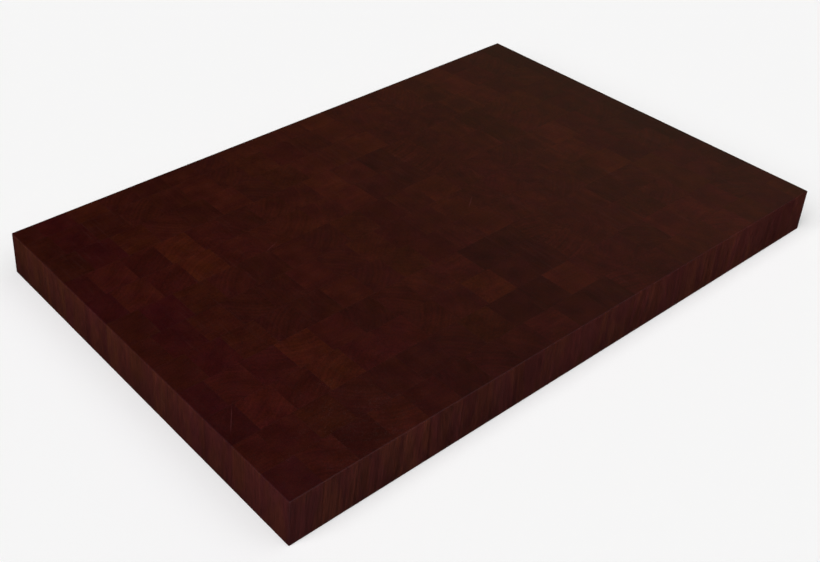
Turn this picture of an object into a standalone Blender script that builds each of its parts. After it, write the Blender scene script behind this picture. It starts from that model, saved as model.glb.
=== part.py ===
"""End-grain cutting board: a flat slab of hardwood blocks that stand on end and are glued side by side.

The board is twelve strips laid side by side. A strip is a slice of a panel of planks, turned so that the
planks' growth rings face up: a row of square blocks. Two panels were sliced, and each strip starts with a block
that was cut short, so that the joints are staggered from strip to strip. The blocks are too many to be solids
of their own, so each strip is made of five runs of three or four blocks. A run is one solid, with a fine V
groove round it wherever two of its blocks meet. Runs are parted by the glue line's width.

Axes: +X along the strips, +Y across them, +Z up. The origin is the centre of the underside. Units are metres.
"""

import math

import bmesh
import bpy
from mathutils import Vector

# Driving dimensions
BOARD_LENGTH = 0.740
BOARD_THICKNESS = 0.051
BLOCK_SIDE = 0.040
FULL_STRIPS = 10
FRONT_STRIP_WIDTH = 0.038  # the two outer strips lost some width when the slab was squared up
BACK_STRIP_WIDTH = 0.029

# From the front strip to the back one: the length of the strip's first block, and the panel it was sliced from
FIRST_BLOCKS = (0.0355, 0.026, 0.0315, 0.0275, 0.035, 0.024, 0.036, 0.028, 0.0245, 0.037, 0.027, 0.024)
STRIP_PANELS = "ABAABBBAABBB"

# Small features
GLUE_GAP = 0.0003
GROOVE_WIDTH = GLUE_GAP
GROOVE_DEPTH = 0.0003
EDGE_EASE = 0.0012
EASE_SEGMENTS = 2

# How many blocks each run of a strip holds, in odd strips and in even ones, so that run ends are staggered too
RUNS_IN_ODD_STRIPS = (4, 4, 4, 4, 3)
RUNS_IN_EVEN_STRIPS = (3, 4, 4, 4, 4)

STRIP_WIDTHS = (FRONT_STRIP_WIDTH, *[BLOCK_SIDE] * FULL_STRIPS, BACK_STRIP_WIDTH)
BOARD_WIDTH = sum(STRIP_WIDTHS)
BOARD_SIZE = Vector((BOARD_LENGTH, BOARD_WIDTH, BOARD_THICKNESS))
BOARD_CENTRE = Vector((0, 0, BOARD_THICKNESS / 2))
SAME_PLACE = 1e-5

# Oiled mahogany-like wood: base colour, roughness
WOOD_TONES = {
    "dark_brown": ((0.050, 0.020, 0.014), 0.50),
    "red_brown": ((0.085, 0.027, 0.018), 0.46),
    "purple_brown": ((0.072, 0.026, 0.024), 0.48),
    "orange_brown": ((0.120, 0.047, 0.022), 0.46),
}

# The tone of each run of a strip from this panel
RUN_TONES = {
    "A": ("orange_brown", "red_brown", "dark_brown", "purple_brown", "red_brown"),
    "B": ("purple_brown", "red_brown", "orange_brown", "red_brown", "dark_brown"),
}


def clear_scene():
    for thing in list(bpy.data.objects):
        bpy.data.objects.remove(thing)


def new_collection(name):
    collection = bpy.data.collections.new(name)
    bpy.context.scene.collection.children.link(collection)
    return collection


def wood_material(name, colour, roughness):
    material = bpy.data.materials.new(name)
    material.use_nodes = True
    shader = material.node_tree.nodes["Principled BSDF"]
    shader.inputs["Base Color"].default_value = (*colour, 1)
    shader.inputs["Roughness"].default_value = roughness
    shader.inputs["Metallic"].default_value = 0
    return material


def block_bounds(first_block):
    """The x of each block's ends along a strip that starts with a block this long."""
    left, right = -BOARD_LENGTH / 2, BOARD_LENGTH / 2
    full_blocks = int((BOARD_LENGTH - first_block) / BLOCK_SIDE)
    joints = [left + first_block + i * BLOCK_SIDE for i in range(full_blocks + 1)]
    return [left, *joints, right]


def faces_outwards(face, centre):
    """Whether a face of the run centred here is part of the board's own surface."""
    point = centre + face.calc_center_median() - BOARD_CENTRE
    reach = [abs(point[i]) - BOARD_SIZE[i] / 2 for i in range(3)]
    return max(reach) > -SAME_PLACE


def ease_outer_edges(bm, centre):
    """Rounds the edges between two faces that both belong to the board's surface."""
    outer = [edge for edge in bm.edges if all(faces_outwards(face, centre) for face in edge.link_faces)]
    if outer:
        bmesh.ops.bevel(
            bm, geom=outer, offset=EDGE_EASE, segments=EASE_SEGMENTS, profile=0.5, affect="EDGES"
        )


def cut_groove(bm, x):
    """A V groove all round the run, where two blocks meet."""
    for offset in (-GROOVE_WIDTH / 2, 0, GROOVE_WIDTH / 2):
        everything = [*bm.verts, *bm.edges, *bm.faces]
        bmesh.ops.bisect_plane(bm, geom=everything, plane_co=(x + offset, 0, 0), plane_no=(1, 0, 0))
    for vert in bm.verts:
        if abs(vert.co.x - x) < SAME_PLACE:
            vert.co.y -= math.copysign(GROOVE_DEPTH, vert.co.y)
            vert.co.z -= math.copysign(GROOVE_DEPTH, vert.co.z)


def shrink_for_glue(low, high):
    """Moves the sides that meet a neighbour back by half the glue gap."""
    for axis in (0, 1):
        limit = BOARD_SIZE[axis] / 2 - SAME_PLACE
        if low[axis] > -limit:
            low[axis] += GLUE_GAP / 2
        if high[axis] < limit:
            high[axis] -= GLUE_GAP / 2


def make_run(name, bounds, y_low, y_high, parent, material, collection):
    """One solid from the first of these block ends to the last, grooved at those between."""
    low = Vector((bounds[0], y_low, 0))
    high = Vector((bounds[-1], y_high, BOARD_THICKNESS))
    shrink_for_glue(low, high)
    centre = (low + high) / 2

    bm = bmesh.new()
    bmesh.ops.create_cube(bm, size=1)
    bmesh.ops.scale(bm, vec=high - low, verts=bm.verts)
    ease_outer_edges(bm, centre)
    for joint in bounds[1:-1]:
        cut_groove(bm, joint - centre.x)
    bmesh.ops.recalc_face_normals(bm, faces=bm.faces)
    mesh = bpy.data.meshes.new(name)
    bm.to_mesh(mesh)
    bm.free()

    mesh.materials.append(material)
    run = bpy.data.objects.new(name, mesh)
    run.parent = parent
    run.location = centre - parent.location
    collection.objects.link(run)
    return run


def make_strip(number, y_low, y_high, materials, collection):
    """The runs of one strip, under an empty at its middle."""
    strip = bpy.data.objects.new(f"strip_{number:02d}", None)
    strip.location = (0, (y_low + y_high) / 2, BOARD_THICKNESS / 2)
    collection.objects.link(strip)

    bounds = block_bounds(FIRST_BLOCKS[number - 1])
    run_lengths = RUNS_IN_ODD_STRIPS if number % 2 else RUNS_IN_EVEN_STRIPS
    tones = RUN_TONES[STRIP_PANELS[number - 1]]
    first = 0
    for length, tone in zip(run_lengths, tones):
        name = f"strip_{number:02d}_blocks_{first + 1:02d}_to_{first + length:02d}"
        make_run(name, bounds[first : first + length + 1], y_low, y_high, strip, materials[tone], collection)
        first += length


def make_board():
    board = new_collection("end_grain_cutting_board")
    materials = {tone: wood_material("wood_" + tone, *look) for tone, look in WOOD_TONES.items()}
    y = -BOARD_WIDTH / 2
    for number, width in enumerate(STRIP_WIDTHS, start=1):
        make_strip(number, y, y + width, materials, board)
        y += width


clear_scene()
make_board()
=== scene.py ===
"""Looks of the end-grain cutting board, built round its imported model.

Each of the twelve strips is one piece, and each of its nineteen blocks is a closed body of its own: a slice
of a plank, standing on end. The blocks carry what their plank is like in mesh attributes: where the heart of
the tree was, how far apart its growth rings are, and the tone of its wood. One procedural material reads
those, so the rings that curve across a block's top run straight down its sides, as they do in real wood.

Axes: +X along the strips, +Y across them, +Z up. Units are metres.
"""

import math
import random

import bmesh
import bpy
from mathutils import Matrix, Vector, noise


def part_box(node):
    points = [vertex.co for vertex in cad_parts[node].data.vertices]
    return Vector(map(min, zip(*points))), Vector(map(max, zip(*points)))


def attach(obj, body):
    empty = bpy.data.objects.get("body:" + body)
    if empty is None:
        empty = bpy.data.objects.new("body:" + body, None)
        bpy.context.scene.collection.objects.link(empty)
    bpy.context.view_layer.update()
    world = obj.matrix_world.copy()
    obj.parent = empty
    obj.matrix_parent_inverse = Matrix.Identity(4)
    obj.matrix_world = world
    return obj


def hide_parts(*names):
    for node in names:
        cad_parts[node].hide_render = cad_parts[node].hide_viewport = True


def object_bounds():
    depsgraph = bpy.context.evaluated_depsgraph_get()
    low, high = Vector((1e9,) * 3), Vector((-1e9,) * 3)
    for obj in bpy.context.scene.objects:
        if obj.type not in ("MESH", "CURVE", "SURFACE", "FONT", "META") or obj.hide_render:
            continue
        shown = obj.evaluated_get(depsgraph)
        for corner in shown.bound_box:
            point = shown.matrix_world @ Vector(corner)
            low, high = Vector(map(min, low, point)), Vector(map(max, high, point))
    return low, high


# The board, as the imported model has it
BLOCK_SIDE = 0.040
GLUE_GAP = 0.0003
STRIP_PANELS = "ABAABBBAABBB"  # from the front strip to the back one, the panel it was sliced from
TURNED_OVER = (1, 2, 4, 6, 10)  # these strips lie the other way up from the rest of their panel

# Small geometry
JOINT_CLEARANCE = 0.00001  # from a block's side to the middle of the joint
BLOCK_CUTS = 3  # cuts across each side of a block, for the slight unevenness of sanded wood
OUTER_EASE = 0.0012  # rounding of the board's own edges
JOINT_EASE_SHARE = 0.05  # rounding of a block's edge in a joint, as a share of that
EASE_SEGMENTS = 3
ALIGNED = 0.5  # a cosine above this means the same way, where all flat sides are square to each other
UNEVENNESS = 0.00006
UNEVEN_PATCHES = 30  # per metre
WORN_DEPTH = 0.00025
WORN_PATCHES = 45  # per metre

# What the wood of a plank looks like: red, green and blue against plain brown
TONES = {
    "brown": (1.00, 1.00, 1.00),
    "light": (1.08, 1.10, 1.05),
    "amber": (1.20, 1.28, 1.10),
    "orange": (1.36, 1.57, 1.00),
    "ochre": (1.03, 1.18, 0.87),
    "olive": (0.88, 0.98, 0.91),
    "dark": (0.87, 0.87, 0.93),
    "red": (0.99, 0.92, 1.00),
    "rose": (1.05, 0.98, 1.14),
    "pink": (1.22, 1.16, 1.20),
    "purple": (0.92, 0.74, 1.10),
    "violet": (1.05, 1.02, 1.40),
    "deep": (0.76, 0.74, 0.81),
    "bright": (1.34, 1.29, 1.31),
}

# How the growth rings cross a block: their direction in degrees from +X, the distance to the heart of the
# tree, and how clearly they show
FIGURES = {
    "plain": (35, 0.160, 0.35),
    "level": (4, 0.090, 0.80),
    "shallow": (18, 0.085, 1.30),
    "rising": (38, 0.080, 1.10),
    "steep": (64, 0.100, 0.80),
    "upright": (88, 0.120, 0.80),
    "leaning": (112, 0.090, 0.80),
    "falling": (144, 0.090, 0.90),
    "domed": (10, 0.034, 0.80),
}

# The planks of both panels, from the left end of the board to the right one
PANELS = {
    "A": (
        "purple plain, pink rising, red rising, orange shallow, rose domed, brown leaning, brown rising,"
        "brown steep, amber level, dark plain, dark upright, brown shallow, brown domed, light upright,"
        "olive upright, light rising, ochre plain, red plain, brown level"
    ),
    "B": (
        "olive level, purple plain, ochre level, brown rising, brown upright, light level, dark rising,"
        "ochre falling, red plain, light upright, amber level, brown steep, brown falling, light rising,"
        "light upright, amber level, red plain, brown rising, dark upright"
    ),
}

# Blocks that differ from the rest of their plank, strip by strip from the front, counted from the left end
ODD_BLOCKS = {
    1: "1 violet, 4 amber, 5 red, 6 deep, 7 dark, 9 light, 10 deep, 15 brown, 16 bright, 19 ochre",
    2: "1 amber, 2 red, 6 dark, 9 deep, 10 deep, 15 pink, 16 bright, 17 pink, 19 brown",
    3: "2 bright, 4 orange, 6 pink, 9 orange, 11 deep, 13 red",
    4: "2 rose, 3 rose, 5 pink, 6 dark, 9 light, 10 deep",
    5: "6 amber, 10 brown, 16 orange",
    8: "6 light, 7 amber",
    9: "10 brown, 18 dark",
    10: "6 amber, 9 light, 10 amber, 16 brown",
    11: "3 brown",
    12: "4 dark, 8 amber, 9 light, 10 amber, 14 amber",
}

# How much planks with the same words differ, as the lowest and the highest value
DIRECTION_DRIFT = (-7, 7)  # degrees
HEART_DISTANCE_GAIN = (0.8, 1.3)
PLANK_TONE_GAIN = (0.96, 1.04)
CLARITY_GAIN = (0.85, 1.15)
RING_SPACING = (0.0035, 0.0060)
GRAIN_LEAN = (-0.06, 0.06)  # sideways for each metre up
PANEL_STEP = 10  # these three keep each plank's pattern apart from the next one's
PLANK_STEP = 0.1
PATTERN_STRIDE = 3.7

# How much the blocks of one plank differ
BLOCK_SHADE_GAIN = (0.92, 1.08)
BLOCK_WARMTH = (-0.05, 0.05)
RING_DRIFT = (-0.006, 0.006)

# Plain brown, along the grain and across it, where the oil soaks in and darkens it
SIDE_COLOUR = (0.0532, 0.0102, 0.0057, 1)
TOP_COLOUR = (0.0272, 0.0035, 0.00205, 1)
WHITE = (1, 1, 1, 1)
SIDE_TONE_SHARE = 0.40  # how much of a block's tone shows along the grain
TOP_TONE_SHARE = 1.0
ROSE_TINT = (0.95, 0.87, 1.10, 1)
AMBER_TINT = (1.05, 1.13, 0.92, 1)
SIDE_HUE_SPREAD = 0.08  # how far the hue noise goes before the tint is full: less is more sudden
TOP_HUE_SPREAD = 0.18
NEAR_PAINTED_LIGHT = (0.965, 0.915, 1.070, 1)  # painted light: the front is drawn a colder red than the back, as the studio light falls across the board
FAR_PAINTED_LIGHT = (1.005, 1.035, 0.910, 1)
PAINTED_LIGHT_SLANT = 0.15  # how much the right end counts as the back
PAINTED_LIGHT_REACH = 0.25

# Growth rings: how strongly each kind of band shows, and how fine it is. Patches are given as how many there
# are in a metre across the grain, and along the grain as a share of that.
SIDE_CONTRAST = 1.10
TOP_CONTRAST = 0.66
RING_WANDER = 0.005  # how far a ring strays from a true circle
WANDER_PATCHES = (38.0, 0.12)
YEARLY_SHADE = 0.08
BROAD_SHADE = 0.65
BROAD_BANDS = 0.42  # per ring
STREAK_SHADE = 0.80
STREAKS_ACROSS = 6.5  # per ring
STREAKS_ROUND = 32.0  # per metre
STREAKS_UP = 9.0  # per metre

# Other unevenness of the wood: its patches, and how dark and how light they are
HUE_PATCHES = (55.0, 0.3)
MOTTLE_PATCHES = (42.0, 0.15)
MOTTLE_GAIN = (0.84, 1.16)
FIBRE_PATCHES = (750.0, 0.08)
FIBRE_GAIN = (0.76, 1.24)
STAIN_PATCHES = 15.0  # per metre, whatever the grain
STAIN_GAIN = (0.93, 1.07)
FOOT_GAIN = (0.80, 1.02)  # at the foot of a side, and at its top

# What counts in a noise, from the value where it starts to the one where it is full
NOISE_ROUGHNESS = 0.55
WIDE_RANGE = (0.25, 0.75)
STAIN_RANGE = (0.30, 0.70)
PORE_CROWDING = (0.40, 0.62)
SPECK_CROWDING = (0.56, 0.98)
SANDING_CROWDING = (0.42, 0.66)
SANDING_RANGE = (0.60, 0.78)

# Fine features, counted per metre. A size is a share of a dot's cell, full inside the first value and gone at
# the second. A reach is a distance, full up to the first value and gone at the second.
PORES = 900.0
PORE_LENGTHENING = 25  # times as long as wide
PORE_SIZE = (0.16, 0.34)
PORE_PATCHES = 160.0
SPECKS = 760.0
SPECK_SIZE = (0.14, 0.30)
SPECK_PATCHES = 60.0
DUSTY_SPOT = Vector((-0.265, -0.205, 0.051))
DUSTY_REACH = (0.01, 0.12)
DUSTY_CROWDING = 0.30  # what the dusty spot adds to the noise that crowds the specks
SANDING_DIRECTION = math.radians(-52)
SANDING_MARKS = (1400, 22, 300)  # across them, along them, and down
SANDING_PATCHES = 9.0
JOINT_REACH = (0.00015, 0.0009)
EDGE_REACH = (0.0002, 0.0013)
END_GRAIN_SLOPE = (0.35, 0.80)  # upward part of the normal, where the end grain starts and where it is full

# Long marks on the work surface, from one point to the other
SCRATCHES = (
    (Vector((-0.3410, -0.1170, 0)), Vector((-0.3620, -0.1440, 0))),
    (Vector((-0.1580, 0.0510, 0)), Vector((-0.1790, 0.0440, 0))),
    (Vector((0.0450, -0.0270, 0)), Vector((0.0660, -0.0120, 0))),
)
SCRATCH_HALF_WIDTH = (0.0001, 0.0004)  # at its ends, and along its middle
SCRATCH_TAPER = 0.35  # from an end, as a share of the length

# What is laid over the wood: its colour, and how much of it
PORE_LAYER = ((0.010, 0.003, 0.0025, 1), 0.35)
SPECK_LAYER = ((0.110, 0.060, 0.055, 1), 0.30)
JOINT_LAYER = ((0.016, 0.005, 0.004, 1), 0.10)
SANDING_LAYER = ((0.075, 0.030, 0.028, 1), 0.16)
# A painted highlight, thin and pale violet, along the board's own rounded edges.
EDGE_PAINTED_HIGHLIGHT = ((0.080, 0.042, 0.055, 1), 0.07)
SCRATCH_LAYER = ((0.100, 0.026, 0.028, 1), 0.6)

# The oiled surface
ROUGHNESS = (0.31, 0.39)
PORE_ROUGHNESS = 0.20
SANDING_ROUGHNESS = 0.08
SPECULAR_LEVEL = 0.15
RELIEF_DEPTH = 0.0002
RELIEF_STRENGTH = 0.35
PORE_RELIEF = -1.0
RING_RELIEF = 0.25
SANDING_RELIEF = -0.3
MOTTLE_RELIEF = 0.4

# The studio
FLOOR_SIDE = 40
FLOOR_COLOUR = (0.95, 0.945, 0.95, 1)
BACKGROUND = (0.925, 0.925, 0.925, 1)
ROOM_LIGHT = (0.012, 0.012, 0.013, 1)
SHEEN_LIGHT = (0.195, 0.215, 0.138, 1)
SHEEN_DIRECTION = Vector((0.95, 0.25, 0.30))
SHEEN_EDGE = (0.72, 0.98)  # cosine of the angle from there, where the glow starts and where it is full
KEY_LIGHT = (2.90, (-0.62, -0.22, 0.75), 60)  # strength, direction from the board, and width in degrees
FILL_LIGHT = (0.90, (0.20, -0.50, 1.0), 70)

# The camera
CAMERA_AZIMUTH = math.radians(38.15)  # from +Y towards +X
CAMERA_TILT = math.radians(31.31)
CAMERA_ROLL = math.radians(0.335)
CAMERA_AIM = Vector((-0.0505, 0.1996, 0.051))
CAMERA_DISTANCE = 1.4239
CAMERA_LENS = 53.43
CAMERA_SHIFT = (0.1695, -0.1598)

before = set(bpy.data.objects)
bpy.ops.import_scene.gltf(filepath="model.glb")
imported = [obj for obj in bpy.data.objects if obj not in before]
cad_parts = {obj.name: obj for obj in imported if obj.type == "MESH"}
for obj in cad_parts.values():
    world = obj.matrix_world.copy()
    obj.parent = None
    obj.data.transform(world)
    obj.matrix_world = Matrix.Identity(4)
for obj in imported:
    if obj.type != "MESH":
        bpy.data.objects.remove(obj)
cad_low, cad_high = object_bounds()
cad_middle = (cad_low + cad_high) / 2
cad_half = (cad_high - cad_low) / 2
random_wood = random.Random(7)


# ---------------------------------------------------------------- the planks


class Plank:
    """One plank of a panel: its tone, and where its rings are centred, from the middle of its section."""

    def __init__(self, words, place):
        tone, figure = words.split()
        direction, radius, clarity = FIGURES[figure]
        angle = math.radians(direction + random_wood.uniform(*DIRECTION_DRIFT))
        radius *= random_wood.uniform(*HEART_DISTANCE_GAIN)
        side = random_wood.choice((-1, 1))
        self.heart = Vector((-math.sin(angle), math.cos(angle), 0)) * radius * side
        self.tone = [value * random_wood.uniform(*PLANK_TONE_GAIN) for value in TONES[tone]]
        self.clarity = clarity * random_wood.uniform(*CLARITY_GAIN)
        self.spacing = random_wood.uniform(*RING_SPACING)
        self.lean = Vector((random_wood.uniform(*GRAIN_LEAN), random_wood.uniform(*GRAIN_LEAN), 0))
        self.place = Vector((0, 0, place * PATTERN_STRIDE))


def plan_panels():
    """The planks of each panel."""
    panels = {}
    for panel, words in PANELS.items():
        start = PANEL_STEP * len(panels)
        panels[panel] = [Plank(plank, start + PLANK_STEP * i) for i, plank in enumerate(words.split(","))]
    return panels


# ---------------------------------------------------------------- the blocks


def strips_of_nodes():
    """The CAD nodes of each strip, in order along it."""
    strips = {}
    for name in sorted(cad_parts):
        strips.setdefault(name.split("_blocks_")[0], []).append(name)
    return strips


def is_outer(value, axis):
    """Whether this coordinate is at one of the board's own faces."""
    return min(abs(value - cad_low[axis]), abs(value - cad_high[axis])) < GLUE_GAP / 4


def strip_sides(node):
    """The y of the strip's two sides, out to the middle of the glue or to the board's own side."""
    low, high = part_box(node)
    y_low = cad_low.y if is_outer(low.y, 1) else low.y - GLUE_GAP / 2
    y_high = cad_high.y if is_outer(high.y, 1) else high.y + GLUE_GAP / 2
    return y_low, y_high


def block_ends(first_node):
    """The x of each block's ends along a strip, from where its first run of blocks ends."""
    a_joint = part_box(first_node)[1].x + GLUE_GAP / 2
    joint = cad_low.x + (a_joint - cad_low.x) % BLOCK_SIDE
    ends = [cad_low.x]
    while joint < cad_high.x:
        ends.append(joint)
        joint += BLOCK_SIDE
    return [*ends, cad_high.x]


def block_box(ends, sides):
    """A block's lowest and highest corner, clear of its neighbours."""
    low = Vector((ends[0], sides[0], cad_low.z))
    high = Vector((ends[1], sides[1], cad_high.z))
    for axis in (0, 1):
        if not is_outer(low[axis], axis):
            low[axis] += JOINT_CLEARANCE
        if not is_outer(high[axis], axis):
            high[axis] -= JOINT_CLEARANCE
    return low, high


def add_block(bm, low, high):
    """A block as a box whose sides are divided into small squares."""
    before = set(bm.verts)
    bmesh.ops.create_cube(bm, size=1)
    verts = [vert for vert in bm.verts if vert not in before]
    bmesh.ops.scale(bm, vec=high - low, verts=verts)
    bmesh.ops.translate(bm, vec=(low + high) / 2, verts=verts)
    edges = list({edge for vert in verts for edge in vert.link_edges})
    bmesh.ops.subdivide_edges(bm, edges=edges, cuts=BLOCK_CUTS, use_grid_fill=True)


def edge_ease(edge):
    """How far this edge is rounded, as a share of the board's outer edges, or nothing inside a flat side."""
    first, second = edge.link_faces
    if first.normal.dot(second.normal) > ALIGNED:
        return 0
    outer = all(
        any(abs(face.normal[axis]) > ALIGNED and is_outer(edge.verts[0].co[axis], axis) for axis in range(3))
        for face in (first, second)
    )
    return 1 if outer else JOINT_EASE_SHARE


def block_mesh(name, ends, sides):
    """The boxes of a strip's blocks, each edge weighted by how far it is to be rounded."""
    bm = bmesh.new()
    weights = bm.edges.layers.float.new("bevel_weight_edge")
    for i in range(len(ends) - 1):
        add_block(bm, *block_box(ends[i : i + 2], sides))
    bm.normal_update()
    for edge in bm.edges:
        edge[weights] = edge_ease(edge)
    mesh = bpy.data.meshes.new(name)
    bm.to_mesh(mesh)
    bm.free()
    return mesh


def ease_edges(obj):
    """Rounds the edges by their weights, and keeps the result as the object's mesh."""
    bevel = obj.modifiers.new("eased_edges", "BEVEL")
    bevel.limit_method = "WEIGHT"
    bevel.width = OUTER_EASE
    bevel.segments = EASE_SEGMENTS
    graph = bpy.context.evaluated_depsgraph_get()
    mesh = bpy.data.meshes.new_from_object(obj.evaluated_get(graph))
    obj.modifiers.clear()
    obj.data = mesh


def wear_surface(mesh):
    """Sanded wood is never quite flat, and the board's own edges are knocked back a little here and there."""
    for vert in mesh.vertices:
        point = vert.co
        depths = sorted((cad_half[axis] - abs(point[axis] - cad_middle[axis]), axis) for axis in range(3))
        depth, axis = depths[0]
        if depth > OUTER_EASE / 2:
            continue
        closeness = max(0, 1 - depths[1][0] / OUTER_EASE)
        knocked = max(0, noise.noise(point * WORN_PATCHES)) * WORN_DEPTH * closeness
        sunk = UNEVENNESS * (0.5 + 0.5 * noise.noise(point * UNEVEN_PATCHES)) + knocked
        point[axis] -= math.copysign(sunk, point[axis] - cad_middle[axis])


def joint_box(ends, sides):
    """The middle and half size of the outline between a block's joints.

    Where a block has one of the board's own faces instead of a joint, the outline lies well outside it.
    """
    low, high = block_box(ends, sides)
    for axis in (0, 1):
        if is_outer(low[axis], axis):
            low[axis] -= BLOCK_SIDE
        if is_outer(high[axis], axis):
            high[axis] += BLOCK_SIDE
    return (low + high) / 2, (high - low) / 2


def block_tones(planks, strip_number):
    """The tone of each block of a strip: no plank is the same all along its length."""
    odd_words = [words.split() for words in ODD_BLOCKS.get(strip_number, "").split(", ") if words]
    odd = {int(block): TONES[tone] for block, tone in odd_words}
    shades = [random_wood.uniform(*BLOCK_SHADE_GAIN) for _ in planks]
    warmths = [random_wood.uniform(*BLOCK_WARMTH) for _ in planks]
    tones = []
    for number, (plank, shade, warmth) in enumerate(zip(planks, shades, warmths), start=1):
        red, green, blue = odd.get(number, plank.tone)
        tones.append((red * shade, green * shade * (1 + warmth), blue * shade * (1 - warmth), 1))
    return tones


def mark_wood(mesh, ends, sides, planks, strip_number):
    """Writes what each block's wood is like into the mesh, for the material to read."""
    marks = {"grain": [], "from_middle": [], "half_size": [], "rings": [], "tone": []}
    y_middle = sum(sides) / 2
    flip = -1 if strip_number in TURNED_OVER else 1
    tones = block_tones(planks, strip_number)
    drifts = [Vector([random_wood.uniform(*RING_DRIFT) for _ in range(3)]) for _ in planks]
    outlines = [joint_box(ends[i : i + 2], sides) for i in range(len(planks))]
    for vert in mesh.vertices:
        number = sum(vert.co.x > end for end in ends[1:-1])
        plank = planks[number]
        # A cut block keeps the part of its plank that is next to its whole neighbour
        x_middle = ends[1] - BLOCK_SIDE / 2 if number == 0 else ends[number] + BLOCK_SIDE / 2
        place = Vector((vert.co.x - x_middle, (vert.co.y - y_middle) * flip, vert.co.z))
        marks["grain"].extend(place - plank.heart + plank.lean * place.z + drifts[number] + plank.place)
        marks["from_middle"].extend(vert.co - outlines[number][0])
        marks["half_size"].extend(outlines[number][1])
        marks["rings"].extend((plank.spacing, plank.clarity, 0))
        marks["tone"].extend(tones[number])
    for name, values in marks.items():
        is_tone = name == "tone"
        layer = mesh.attributes.new(name, "FLOAT_COLOR" if is_tone else "FLOAT_VECTOR", "POINT")
        layer.data.foreach_set("color" if is_tone else "vector", values)


def make_strip(name, nodes, planks, strip_number, material):
    """All the blocks of a strip, as one piece that stands for the strip's CAD runs."""
    sides = strip_sides(nodes[0])
    ends = block_ends(nodes[0])
    strip = bpy.data.objects.new(name, block_mesh(name, ends, sides))
    bpy.context.scene.collection.objects.link(strip)
    ease_edges(strip)
    wear_surface(strip.data)
    mark_wood(strip.data, ends, sides, planks, strip_number)
    strip.data.shade_smooth()
    strip.modifiers.new("flat_sides", "WEIGHTED_NORMAL")
    strip.data.materials.clear()
    strip.data.materials.append(material)
    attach(strip, "root")
    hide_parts(*nodes)


# ---------------------------------------------------------------- the wood


class Nodes:
    """Adds nodes to a material, one call each, and returns the socket that the next one needs."""

    def __init__(self, material):
        self.tree = material.node_tree

    def add(self, kind, inputs=(), output=0, **settings):
        node = self.tree.nodes.new(kind)
        for name, value in settings.items():
            setattr(node, name, value)
        for key, value in dict(inputs).items():
            self.put(value, node.inputs[key])
        return None if output is None else node.outputs[output]

    def put(self, value, socket):
        if isinstance(value, bpy.types.NodeSocket):
            self.tree.links.new(value, socket)
        else:
            socket.default_value = value

    def attribute(self, name, output="Vector"):
        return self.add("ShaderNodeAttribute", output=output, attribute_name=name)

    def math(self, operation, first, second=0.0, third=0.0):
        inputs = {0: first, 1: second, 2: third}
        return self.add("ShaderNodeMath", inputs, operation=operation)

    def clamp(self, value):
        return self.add("ShaderNodeClamp", {0: value})

    def vector(self, operation, first, second=(0, 0, 0), output=0):
        return self.add("ShaderNodeVectorMath", {0: first, 1: second}, output, operation=operation)

    def scale(self, vector, factor):
        return self.add("ShaderNodeVectorMath", {0: vector, 3: factor}, operation="SCALE")

    def split(self, vector):
        node = self.tree.nodes.new("ShaderNodeSeparateXYZ")
        self.put(vector, node.inputs[0])
        return node.outputs[0], node.outputs[1], node.outputs[2]

    def join(self, x, y, z):
        return self.add("ShaderNodeCombineXYZ", {0: x, 1: y, 2: z})

    def noise(self, vector, scale, detail=2.0, output="Fac"):
        inputs = {"Vector": vector, "Scale": scale, "Detail": detail, "Roughness": NOISE_ROUGHNESS}
        return self.add("ShaderNodeTexNoise", inputs, output)

    def bands(self, distance, scale):
        """Uneven bands along one distance, about 0 on average."""
        inputs = {"W": distance, "Scale": scale, "Detail": 2.0, "Roughness": NOISE_ROUGHNESS}
        bands = self.add("ShaderNodeTexNoise", inputs, noise_dimensions="1D")
        return self.math("SUBTRACT", bands, 0.5)

    def dots(self, vector, scale, size):
        """Scattered dots: 1 inside the smaller share of their cell, and 0 from the larger one."""
        inputs = {"Vector": vector, "Scale": scale, "Randomness": 1.0}
        near = self.add("ShaderNodeTexVoronoi", inputs, "Distance")
        return self.ramp(near, *size, 1.0, 0.0)

    def ramp(self, value, low, high, at_low=0.0, at_high=1.0):
        """A smooth step: at_low up to low, and at_high from high."""
        inputs = {"Value": value, "From Min": low, "From Max": high, "To Min": at_low, "To Max": at_high}
        return self.add("ShaderNodeMapRange", inputs, interpolation_type="SMOOTHSTEP")

    def blend(self, mode, amount, first, second):
        inputs = {"Factor": amount, 6: first, 7: second}
        return self.add("ShaderNodeMix", inputs, 2, data_type="RGBA", blend_type=mode)


def grain_noise(make, grain, patches, detail=3.0, output="Fac"):
    """Noise in patches that are drawn out along the grain."""
    across, share_along = patches
    return make.noise(make.vector("MULTIPLY", grain, (1, 1, share_along)), across, detail, output)


def ring_shade(make, grain, spacing):
    """Soft, uneven light and dark bands round the heart of the tree, about 0 on average."""
    wander = grain_noise(make, grain, WANDER_PATCHES, output="Color")
    wander = make.vector("SUBTRACT", wander, (0.5, 0.5, 0.5))
    wander = make.vector("MULTIPLY", wander, (RING_WANDER, RING_WANDER, 0))
    x, y, z = make.split(make.vector("ADD", grain, wander))
    radius = make.vector("LENGTH", make.join(x, y, 0.0), output="Value")
    turns = make.math("DIVIDE", radius, spacing)
    round_the_heart = make.math("MULTIPLY", make.math("ARCTAN2", y, x), radius)
    broad = make.bands(turns, BROAD_BANDS)
    across = make.math("MULTIPLY", turns, STREAKS_ACROSS)
    along = make.math("MULTIPLY", round_the_heart, STREAKS_ROUND)
    streaks = make.noise(make.join(across, along, make.math("MULTIPLY", z, STREAKS_UP)), 1.0, 3.0)
    yearly = make.math("SINE", make.math("MULTIPLY", turns, 2 * math.pi))
    shade = make.math("MULTIPLY_ADD", yearly, YEARLY_SHADE, make.math("MULTIPLY", broad, BROAD_SHADE))
    return make.math("MULTIPLY_ADD", make.math("SUBTRACT", streaks, 0.5), STREAK_SHADE, shade)


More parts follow.
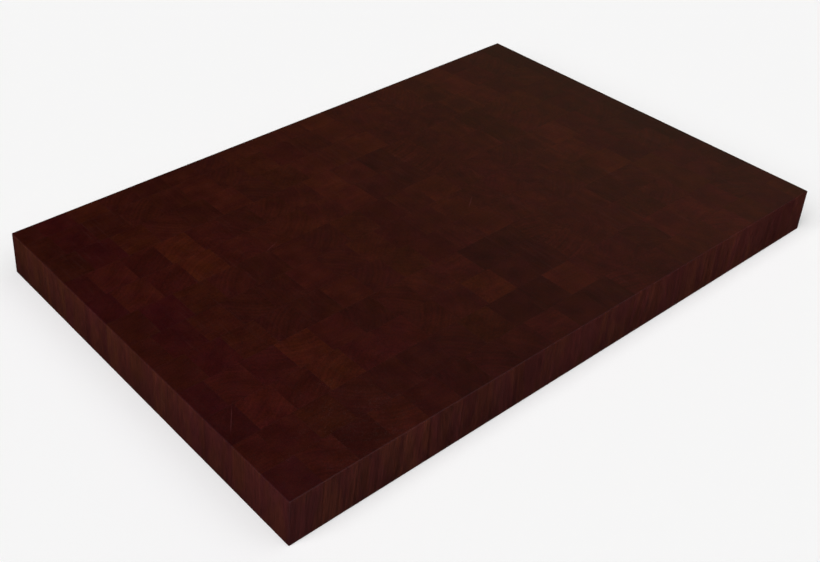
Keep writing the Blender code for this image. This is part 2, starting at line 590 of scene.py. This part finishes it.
def pore_mask(make, grain):
    """Open pores: dots across the grain, and short streaks along it."""
    pores = make.dots(make.vector("MULTIPLY", grain, (1, 1, 1 / PORE_LENGTHENING)), PORES, PORE_SIZE)
    return make.math("MULTIPLY", pores, make.ramp(make.noise(grain, PORE_PATCHES), *PORE_CROWDING))


def speck_mask(make, place, end_grain):
    """Pores that hold pale dust, crowded round one spot and scarce elsewhere."""
    specks = make.dots(place, SPECKS, SPECK_SIZE)
    distance = make.vector("DISTANCE", place, tuple(DUSTY_SPOT), output="Value")
    crowding = make.ramp(distance, *DUSTY_REACH, DUSTY_CROWDING, 0.0)
    crowding = make.math("ADD", crowding, make.noise(place, SPECK_PATCHES))
    specks = make.math("MULTIPLY", specks, make.ramp(crowding, *SPECK_CROWDING))
    return make.math("MULTIPLY", specks, end_grain)


def scratch_mask(make, place, ends):
    """A thin straight mark that fades towards its ends."""
    start, end = ends
    along = end - start
    flat = make.vector("MULTIPLY", place, (1, 1, 0))
    offset = make.vector("SUBTRACT", flat, tuple(start))
    share = make.clamp(make.vector("DOT_PRODUCT", offset, tuple(along / along.length_squared), "Value"))
    distance = make.vector("DISTANCE", offset, make.scale(tuple(along), share), "Value")
    half_width = make.ramp(make.math("PINGPONG", share, 0.5), 0.0, SCRATCH_TAPER, *SCRATCH_HALF_WIDTH)
    mark = make.clamp(make.math("SUBTRACT", 1.0, make.math("DIVIDE", distance, half_width)))
    height = make.split(place)[2]
    on_top = make.math("GREATER_THAN", height, cad_high.z - OUTER_EASE)
    return make.math("MULTIPLY", mark, on_top)


def joint_closeness(make):
    """1 in the joint between two blocks, and 0 from about a millimetre away."""
    half_x, half_y, _ = make.split(make.attribute("half_size"))
    x, y, _ = make.split(make.attribute("from_middle"))
    gap_x = make.math("SUBTRACT", half_x, make.math("ABSOLUTE", x))
    gap_y = make.math("SUBTRACT", half_y, make.math("ABSOLUTE", y))
    return make.ramp(make.math("MINIMUM", gap_x, gap_y), *JOINT_REACH, 1.0, 0.0)


def edge_closeness(make, place):
    """1 on the board's own edges, and 0 from about a millimetre away: where the painted highlight goes."""
    from_middle = make.vector("ABSOLUTE", make.vector("SUBTRACT", place, tuple(cad_middle)))
    x, y, z = make.split(make.vector("SUBTRACT", tuple(cad_half), from_middle))
    nearest = make.math("MINIMUM", make.math("MINIMUM", x, y), z)
    farthest = make.math("MAXIMUM", make.math("MAXIMUM", x, y), z)
    total = make.math("ADD", make.math("ADD", x, y), z)
    second = make.math("SUBTRACT", make.math("SUBTRACT", total, nearest), farthest)
    return make.ramp(second, *EDGE_REACH, 1.0, 0.0)


def sanding_marks(make, place):
    """Fine straight marks at a slant across the whole board, stronger in some places than in others."""
    inputs = {"Vector": place, "Rotation": (0, 0, SANDING_DIRECTION), "Scale": SANDING_MARKS}
    marks = make.noise(make.add("ShaderNodeMapping", inputs), 1.0, 1.0)
    patches = make.ramp(make.noise(place, SANDING_PATCHES), *SANDING_CROWDING)
    return make.math("MULTIPLY", make.ramp(marks, *SANDING_RANGE), patches)


def end_grain_mask(make):
    """1 on the top and the underside, and 0 on the sides."""
    upward = make.split(make.add("ShaderNodeTexCoord", output="Normal"))[2]
    return make.ramp(make.math("ABSOLUTE", upward), *END_GRAIN_SLOPE)


def by_face(make, end_grain, on_sides, on_top):
    """A number that differs between the sides and the end grain."""
    return make.ramp(end_grain, 0.0, 1.0, on_sides, on_top)


def hue_and_painted_light(make, grain, place, end_grain):
    """Patches of warmer and of colder red, and painted light: a slow change of colour from the front of the
    board to its back.
    """
    hue = grain_noise(make, grain, HUE_PATCHES)
    spread = by_face(make, end_grain, SIDE_HUE_SPREAD, TOP_HUE_SPREAD)
    warmth = make.ramp(hue, make.math("SUBTRACT", 0.5, spread), make.math("ADD", 0.5, spread))
    patches = make.blend("MIX", warmth, ROSE_TINT, AMBER_TINT)
    x, y, _ = make.split(place)
    # Painted light: the board is drawn colder at the front and warmer at the back, as the studio light falls
    # across it.
    away = make.ramp(make.math("MULTIPLY_ADD", x, PAINTED_LIGHT_SLANT, y), -PAINTED_LIGHT_REACH, PAINTED_LIGHT_REACH)
    return make.blend("MULTIPLY", 1.0, patches, make.blend("MIX", away, NEAR_PAINTED_LIGHT, FAR_PAINTED_LIGHT))


def plain_colour(make, grain, place, end_grain):
    """The colour of the wood before its figure: base, tone of the block, and tint, with the painted light
    from front to back.
    """
    base = make.blend("MIX", end_grain, SIDE_COLOUR, TOP_COLOUR)
    tone_share = by_face(make, end_grain, SIDE_TONE_SHARE, TOP_TONE_SHARE)
    tone = make.blend("MIX", tone_share, WHITE, make.attribute("tone", "Color"))
    # The tint holds the wood's own hue patches and the painted light from the front of the board to its back.
    tint = hue_and_painted_light(make, grain, place, end_grain)
    return make.blend("MULTIPLY", 1.0, make.blend("MULTIPLY", 1.0, base, tone), tint)


def figure_gain(make, grain, place, end_grain, rings, clarity, mottle):
    """How much lighter or darker than its plain colour the wood is: rings, patches, fibres, darker feet."""
    contrast = make.math("MULTIPLY", clarity, by_face(make, end_grain, SIDE_CONTRAST, TOP_CONTRAST))
    gain = make.math("MULTIPLY_ADD", rings, contrast, 1.0)
    fibres = grain_noise(make, grain, FIBRE_PATCHES, 2.0)
    stains = make.noise(place, STAIN_PATCHES, 3.0)
    foot = make.ramp(make.split(place)[2], cad_low.z, cad_high.z, *FOOT_GAIN)
    gain = make.math("MULTIPLY", gain, make.ramp(mottle, *WIDE_RANGE, *MOTTLE_GAIN))
    gain = make.math("MULTIPLY", gain, make.ramp(fibres, *WIDE_RANGE, *FIBRE_GAIN))
    gain = make.math("MULTIPLY", gain, make.ramp(stains, *STAIN_RANGE, *STAIN_GAIN))
    return make.math("MULTIPLY", gain, make.math("MAXIMUM", foot, end_grain))


def lay_over(make, colour, mask, layer):
    """The colour with another one over it where the mask is 1."""
    layer_colour, amount = layer
    return make.blend("MIX", make.math("MULTIPLY", mask, amount), colour, layer_colour)


def roughness(make, mottle, pores, marks):
    """Patches of duller and of shinier oil, dull in the pores and the sanding marks."""
    rough = make.ramp(mottle, *WIDE_RANGE, *ROUGHNESS)
    rough = make.math("MULTIPLY_ADD", pores, PORE_ROUGHNESS, rough)
    return make.math("MULTIPLY_ADD", marks, SANDING_ROUGHNESS, rough)


def relief(make, rings, mottle, pores, marks):
    """The fine relief that a hand would hardly feel."""
    height = make.math("MULTIPLY_ADD", pores, PORE_RELIEF, make.math("MULTIPLY", rings, RING_RELIEF))
    height = make.math("MULTIPLY_ADD", marks, SANDING_RELIEF, height)
    height = make.math("MULTIPLY_ADD", mottle, MOTTLE_RELIEF, height)
    inputs = {"Height": height, "Strength": RELIEF_STRENGTH, "Distance": RELIEF_DEPTH}
    return make.add("ShaderNodeBump", inputs)


def make_wood():
    """Oiled dark hardwood, end grain on top and long grain down the sides."""
    wood = bpy.data.materials.new("oiled_end_grain_wood")
    wood.use_nodes = True
    make = Nodes(wood)
    grain = make.attribute("grain")
    spacing, clarity, _ = make.split(make.attribute("rings"))
    place = make.add("ShaderNodeTexCoord", output="Object")
    end_grain = end_grain_mask(make)
    rings = ring_shade(make, grain, spacing)
    mottle = grain_noise(make, grain, MOTTLE_PATCHES)
    pores = pore_mask(make, grain)
    marks = sanding_marks(make, place)

    colour = plain_colour(make, grain, place, end_grain)
    colour = make.scale(colour, figure_gain(make, grain, place, end_grain, rings, clarity, mottle))
    colour = lay_over(make, colour, pores, PORE_LAYER)
    colour = lay_over(make, colour, speck_mask(make, place, end_grain), SPECK_LAYER)
    colour = lay_over(make, colour, joint_closeness(make), JOINT_LAYER)
    colour = lay_over(make, colour, marks, SANDING_LAYER)
    # A painted highlight along the board's own edges.
    colour = lay_over(make, colour, edge_closeness(make, place), EDGE_PAINTED_HIGHLIGHT)
    for ends in SCRATCHES:
        colour = lay_over(make, colour, scratch_mask(make, place, ends), SCRATCH_LAYER)

    shader = wood.node_tree.nodes["Principled BSDF"]
    make.put(colour, shader.inputs["Base Color"])
    make.put(roughness(make, mottle, pores, marks), shader.inputs["Roughness"])
    make.put(relief(make, rings, mottle, pores, marks), shader.inputs["Normal"])
    shader.inputs["Specular IOR Level"].default_value = SPECULAR_LEVEL
    return wood


# ---------------------------------------------------------------- the studio


def make_floor():
    """A plain pale floor."""
    half = FLOOR_SIDE / 2
    verts = [(x * half, y * half, cad_low.z) for x, y in ((-1, -1), (1, -1), (1, 1), (-1, 1))]
    mesh = bpy.data.meshes.new("floor")
    mesh.from_pydata(verts, [], [(0, 1, 2, 3)])
    floor = bpy.data.objects.new("floor", mesh)
    bpy.context.scene.collection.objects.link(floor)
    paper = bpy.data.materials.new("pale_paper")
    paper.use_nodes = True
    shader = paper.node_tree.nodes["Principled BSDF"]
    shader.inputs["Base Color"].default_value = FLOOR_COLOUR
    shader.inputs["Roughness"].default_value = 1.0
    shader.inputs["Specular IOR Level"].default_value = 0.0
    mesh.materials.append(paper)
    floor.visible_glossy = False  # its glare would wash out the dark sides


def make_world():
    """Pale where the camera sees it, and a dim studio as a light, so that the dark wood isn't washed out."""
    world = bpy.data.worlds.new("studio")
    world.use_nodes = True
    bpy.context.scene.world = world
    world.node_tree.nodes.clear()
    make = Nodes(world)
    path = make.add("ShaderNodeLightPath", output="Is Camera Ray")
    direction = make.add("ShaderNodeTexCoord", output="Generated")
    facing = make.vector("DOT_PRODUCT", direction, tuple(SHEEN_DIRECTION.normalized()), "Value")
    room = make.blend("MIX", make.ramp(facing, *SHEEN_EDGE), ROOM_LIGHT, SHEEN_LIGHT)
    light = make.add("ShaderNodeBackground", {"Color": make.blend("MIX", path, room, BACKGROUND)})
    make.add("ShaderNodeOutputWorld", {"Surface": light}, output=None)


def make_soft_light(name, energy, towards, spread):
    """A large soft light in this direction from the board."""
    data = bpy.data.lights.new(name, "SUN")
    data.energy = energy
    data.angle = math.radians(spread)
    light = bpy.data.objects.new(name, data)
    light.rotation_euler = Vector(towards).to_track_quat("Z", "Y").to_euler()
    bpy.context.scene.collection.objects.link(light)


def make_camera():
    """The camera, aimed from a direction and a distance at a point of the work surface."""
    data = bpy.data.cameras.new("camera")
    data.lens = CAMERA_LENS
    data.shift_x, data.shift_y = CAMERA_SHIFT
    data.clip_start = 0.01
    data.clip_end = 100
    camera = bpy.data.objects.new("camera", data)
    turn = Matrix.Rotation(-CAMERA_AZIMUTH, 4, "Z") @ Matrix.Rotation(math.pi / 2 - CAMERA_TILT, 4, "X")
    turn = turn @ Matrix.Rotation(CAMERA_ROLL, 4, "Z")
    back = turn.to_3x3() @ Vector((0, 0, 1))
    camera.matrix_world = Matrix.Translation(CAMERA_AIM + back * CAMERA_DISTANCE) @ turn
    bpy.context.scene.collection.objects.link(camera)
    bpy.context.scene.camera = camera


panels = plan_panels()
wood = make_wood()
for number, (name, nodes) in enumerate(strips_of_nodes().items(), start=1):
    make_strip(name, nodes, panels[STRIP_PANELS[number - 1]], number, wood)
make_floor()
make_world()
make_soft_light("key", *KEY_LIGHT)
make_soft_light("fill", *FILL_LIGHT)
make_camera()
bpy.context.scene.view_settings.view_transform = "Standard"
